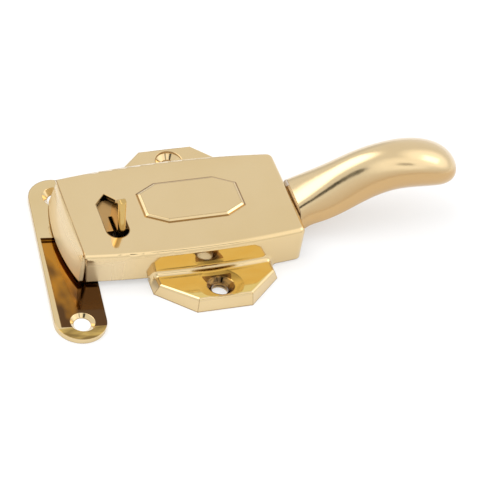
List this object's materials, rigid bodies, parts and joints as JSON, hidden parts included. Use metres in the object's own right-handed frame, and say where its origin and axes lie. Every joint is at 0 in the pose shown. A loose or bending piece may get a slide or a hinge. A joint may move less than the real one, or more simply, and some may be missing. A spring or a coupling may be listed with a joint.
{
  "type": "cabinet catch",
  "caption": "Surface-mounted brass cabinet catch with a pull handle, a spring bolt, a thumb slide and a separate keeper plate.",
  "frame": {"origin": "midpoint between the ear screws, on the mounting plane", "axes": "+X from the keeper to the handle's tip, +Y along the line of the ear screws, +Z out of the door"},
  "size_m": [0.0964, 0.0516, 0.0185],
  "materials": {
    "case": "polished",
    "inner_frame": "satin",
    "lever_pivot_pin": "satin",
    "far_collar": "satin",
    "near_collar": "satin",
    "handle_lever": "polished",
    "latch_bolt": "satin",
    "spring_peg": "satin",
    "spring_anchor": "satin",
    "anchor_rivets": "satin",
    "bolt_spring": "satin",
    "slide_tray": "darkened",
    "slide_spring": "satin",
    "slide_plate": "polished",
    "thumb_fin": "polished",
    "keeper_plate": "polished",
    "keeper_strike": "satin"
  },
  "bodies": {
    "mount": {"case": "case", "inner_frame": "inner_frame", "lever_pivot_pin": "lever_pivot_pin", "far_collar": "far_collar", "near_collar": "near_collar", "spring_anchor": "spring_anchor", "anchor_rivets": "anchor_rivets", "bolt_spring": "bolt_spring", "slide_tray": "slide_tray", "slide_spring": "slide_spring", "keeper_plate": "keeper_plate", "keeper_strike": "keeper_strike"},
    "handle": {"handle_lever": "handle_lever"},
    "bolt": {"latch_bolt": "latch_bolt", "spring_peg": "spring_peg"},
    "slide": {"slide_plate": "slide_plate", "thumb_fin": "thumb_fin"}
  },
  "joints": [
    {"name": "handle_hinge", "type": "hinge", "parent": "mount", "child": "handle", "pos_m": [0.0154, 0, 0.0062], "axis": [0, -1, 0], "range_deg": [0, 18], "stiffness_Nm_per_rad": 0.25, "springref_deg": -17.19},
    {"name": "bolt_slide", "type": "slide", "parent": "mount", "child": "bolt", "axis": [1, 0, 0], "range_m": [0, 0.0013]},
    {"name": "thumb_slide_slide", "type": "slide", "parent": "mount", "child": "slide", "axis": [0, 1, 0], "range_m": [0, 0.0035]}
  ],
  "couplings": [
    {"joint": "bolt_slide", "follows": "handle_hinge", "m_per_rad": 0.004135}
  ]
}
